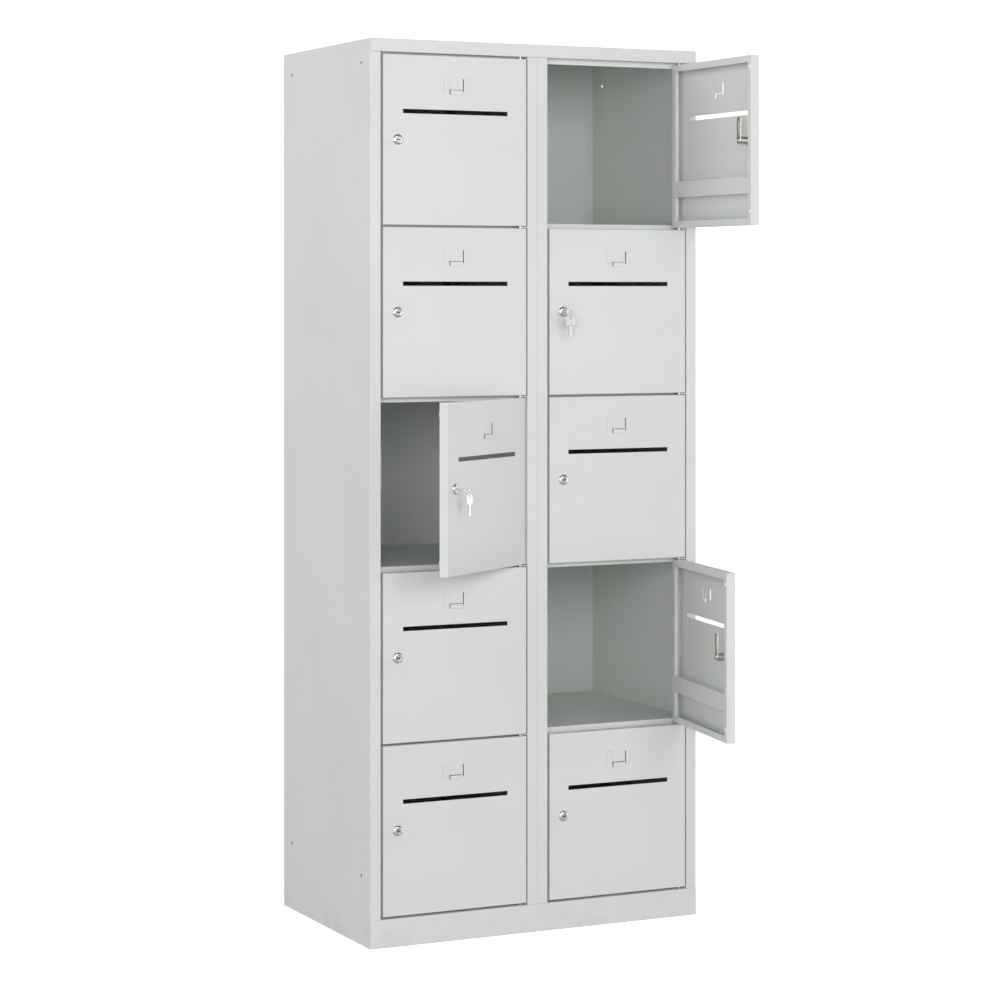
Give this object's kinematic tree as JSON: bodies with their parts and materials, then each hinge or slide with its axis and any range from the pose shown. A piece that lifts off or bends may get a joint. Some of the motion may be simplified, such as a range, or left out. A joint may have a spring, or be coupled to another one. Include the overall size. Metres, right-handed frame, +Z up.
{
  "type": "parcel locker",
  "caption": "Free-standing sheet-steel parcel and mail locker: two columns of stacked compartments, each with a hinged door, letter slot, card holder and cam lock.",
  "frame": {"origin": "centre of the carcass footprint, on the floor", "axes": "+X to the right seen from the front, +Y to the back, +Z up; the doors face -Y"},
  "size_m": [0.8, 0.8231, 1.95],
  "materials": {
    "cabinet_paint": "light grey powder coat, satin, very fine orange peel",
    "door_paint": "light grey powder coat, satin, very fine orange peel",
    "pin_steel": "zinc-plated steel",
    "lock_chrome": "polished chrome-plated zinc",
    "lock_steel": "bright nickel-plated steel",
    "key_nickel": "nickel-plated steel"
  },
  "bodies": {
    "cabinet": {"left_side_panel": "cabinet_paint", "right_side_panel": "cabinet_paint", "back_panel": "cabinet_paint", "top_panel": "cabinet_paint", "base_panel": "cabinet_paint", "partition_left": "cabinet_paint", "partition_right": "cabinet_paint", "hinge_pivots": "pin_steel", "shelf_left_1": "cabinet_paint", "shelf_left_2": "cabinet_paint", "shelf_left_3": "cabinet_paint", "shelf_left_4": "cabinet_paint", "shelf_right_1": "cabinet_paint", "shelf_right_2": "cabinet_paint", "shelf_right_3": "cabinet_paint", "shelf_right_4": "cabinet_paint"},
    "door_left_1": {"door_left_1": "door_paint", "stiffener_left_1": "door_paint", "lock_left_1": "lock_chrome"},
    "cam_left_1": {"cam_left_1": "lock_steel"},
    "door_left_2": {"door_left_2": "door_paint", "stiffener_left_2": "door_paint", "lock_left_2": "lock_chrome"},
    "cam_left_2": {"cam_left_2": "lock_steel"},
    "door_left_3": {"door_left_3": "door_paint", "stiffener_left_3": "door_paint", "lock_left_3": "lock_chrome"},
    "cam_left_3": {"cam_left_3": "lock_steel"},
    "door_left_4": {"door_left_4": "door_paint", "stiffener_left_4": "door_paint", "lock_left_4": "lock_chrome"},
    "cam_left_4": {"cam_left_4": "lock_steel"},
    "door_left_5": {"door_left_5": "door_paint", "stiffener_left_5": "door_paint", "lock_left_5": "lock_chrome"},
    "cam_left_5": {"cam_left_5": "lock_steel"},
    "door_right_1": {"door_right_1": "door_paint", "stiffener_right_1": "door_paint", "lock_right_1": "lock_chrome"},
    "cam_right_1": {"cam_right_1": "lock_steel"},
    "door_right_2": {"door_right_2": "door_paint", "stiffener_right_2": "door_paint", "lock_right_2": "lock_chrome"},
    "cam_right_2": {"cam_right_2": "lock_steel"},
    "door_right_3": {"door_right_3": "door_paint", "stiffener_right_3": "door_paint", "lock_right_3": "lock_chrome"},
    "cam_right_3": {"cam_right_3": "lock_steel"},
    "door_right_4": {"door_right_4": "door_paint", "stiffener_right_4": "door_paint", "lock_right_4": "lock_chrome"},
    "cam_right_4": {"cam_right_4": "lock_steel"},
    "door_right_5": {"door_right_5": "door_paint", "stiffener_right_5": "door_paint", "lock_right_5": "lock_chrome"},
    "cam_right_5": {"cam_right_5": "lock_steel"},
    "key_left_3": {"key_left_3": "key_nickel"},
    "spare_key_left_3": {"spare_key_left_3": "key_nickel"},
    "key_right_2": {"key_right_2": "key_nickel"},
    "spare_key_right_2": {"spare_key_right_2": "key_nickel"}
  },
  "joints": [
    {"name": "door_left_1_hinge", "type": "hinge", "parent": "cabinet", "child": "door_left_1", "pos_m": [-0.039, -0.242, 1.5508], "axis": [0, 0, 1], "range_deg": [0, 110]},
    {"name": "cam_left_1_turn", "type": "hinge", "parent": "door_left_1", "child": "cam_left_1", "pos_m": [-0.3355, -0.242, 1.7339], "axis": [0, -1, 0], "range_deg": [0, 90]},
    {"name": "door_left_2_hinge", "type": "hinge", "parent": "cabinet", "child": "door_left_2", "pos_m": [-0.039, -0.242, 1.1796], "axis": [0, 0, 1], "range_deg": [0, 110]},
    {"name": "cam_left_2_turn", "type": "hinge", "parent": "door_left_2", "child": "cam_left_2", "pos_m": [-0.3355, -0.242, 1.3627], "axis": [0, -1, 0], "range_deg": [0, 90]},
    {"name": "door_left_3_hinge", "type": "hinge", "parent": "cabinet", "child": "door_left_3", "pos_m": [-0.039, -0.242, 0.8084], "axis": [0, 0, 1], "range_deg": [-35, 75]},
    {"name": "cam_left_3_turn", "type": "hinge", "parent": "door_left_3", "child": "cam_left_3", "pos_m": [-0.28188, -0.41207, 0.9915], "axis": [0.5736, -0.8192, 0], "range_deg": [0, 90]},
    {"name": "door_left_4_hinge", "type": "hinge", "parent": "cabinet", "child": "door_left_4", "pos_m": [-0.039, -0.242, 0.4372], "axis": [0, 0, 1], "range_deg": [0, 110]},
    {"name": "cam_left_4_turn", "type": "hinge", "parent": "door_left_4", "child": "cam_left_4", "pos_m": [-0.3355, -0.242, 0.6203], "axis": [0, -1, 0], "range_deg": [0, 90]},
    {"name": "door_left_5_hinge", "type": "hinge", "parent": "cabinet", "child": "door_left_5", "pos_m": [-0.039, -0.242, 0.066], "axis": [0, 0, 1], "range_deg": [0, 110]},
    {"name": "cam_left_5_turn", "type": "hinge", "parent": "door_left_5", "child": "cam_left_5", "pos_m": [-0.3355, -0.242, 0.2491], "axis": [0, -1, 0], "range_deg": [0, 90]},
    {"name": "door_right_1_hinge", "type": "hinge", "parent": "cabinet", "child": "door_right_1", "pos_m": [0.361, -0.242, 1.5508], "axis": [0, 0, 1], "range_deg": [-90.5, 19.5]},
    {"name": "cam_right_1_turn", "type": "hinge", "parent": "door_right_1", "child": "cam_right_1", "pos_m": [0.36359, -0.53849, 1.7339], "axis": [1, 0.0087, 0], "range_deg": [0, 90]},
    {"name": "door_right_2_hinge", "type": "hinge", "parent": "cabinet", "child": "door_right_2", "pos_m": [0.361, -0.242, 1.1796], "axis": [0, 0, 1], "range_deg": [0, 110]},
    {"name": "cam_right_2_turn", "type": "hinge", "parent": "door_right_2", "child": "cam_right_2", "pos_m": [0.0645, -0.242, 1.3627], "axis": [0, -1, 0], "range_deg": [0, 90]},
    {"name": "door_right_3_hinge", "type": "hinge", "parent": "cabinet", "child": "door_right_3", "pos_m": [0.361, -0.242, 0.8084], "axis": [0, 0, 1], "range_deg": [0, 110]},
    {"name": "cam_right_3_turn", "type": "hinge", "parent": "door_right_3", "child": "cam_right_3", "pos_m": [0.0645, -0.242, 0.9915], "axis": [0, -1, 0], "range_deg": [0, 90]},
    {"name": "door_right_4_hinge", "type": "hinge", "parent": "cabinet", "child": "door_right_4", "pos_m": [0.361, -0.242, 0.4372], "axis": [0, 0, 1], "range_deg": [-80.5, 29.5]},
    {"name": "cam_right_4_turn", "type": "hinge", "parent": "door_right_4", "child": "cam_right_4", "pos_m": [0.31206, -0.53443, 0.6203], "axis": [0.9863, -0.165, 0], "range_deg": [0, 90]},
    {"name": "door_right_5_hinge", "type": "hinge", "parent": "cabinet", "child": "door_right_5", "pos_m": [0.361, -0.242, 0.066], "axis": [0, 0, 1], "range_deg": [0, 110]},
    {"name": "cam_right_5_turn", "type": "hinge", "parent": "door_right_5", "child": "cam_right_5", "pos_m": [0.0645, -0.242, 0.2491], "axis": [0, -1, 0], "range_deg": [0, 90]},
    {"name": "key_left_3_pull", "type": "slide", "parent": "cam_left_3", "child": "key_left_3", "axis": [0.5736, -0.8192, 0], "range_m": [0, 0.025]},
    {"name": "spare_key_left_3_swing", "type": "hinge", "parent": "key_left_3", "child": "spare_key_left_3", "pos_m": [-0.25832, -0.44571, 0.9799], "axis": [0.5736, -0.8192, 0], "range_deg": [-45, 45]},
    {"name": "key_right_2_pull", "type": "slide", "parent": "cam_right_2", "child": "key_right_2", "axis": [0, -1, 0], "range_m": [0, 0.025]},
    {"name": "spare_key_right_2_swing", "type": "hinge", "parent": "key_right_2", "child": "spare_key_right_2", "pos_m": [0.0645, -0.28308, 1.3511], "axis": [0, -1, 0], "range_deg": [-45, 45]}
  ]
}
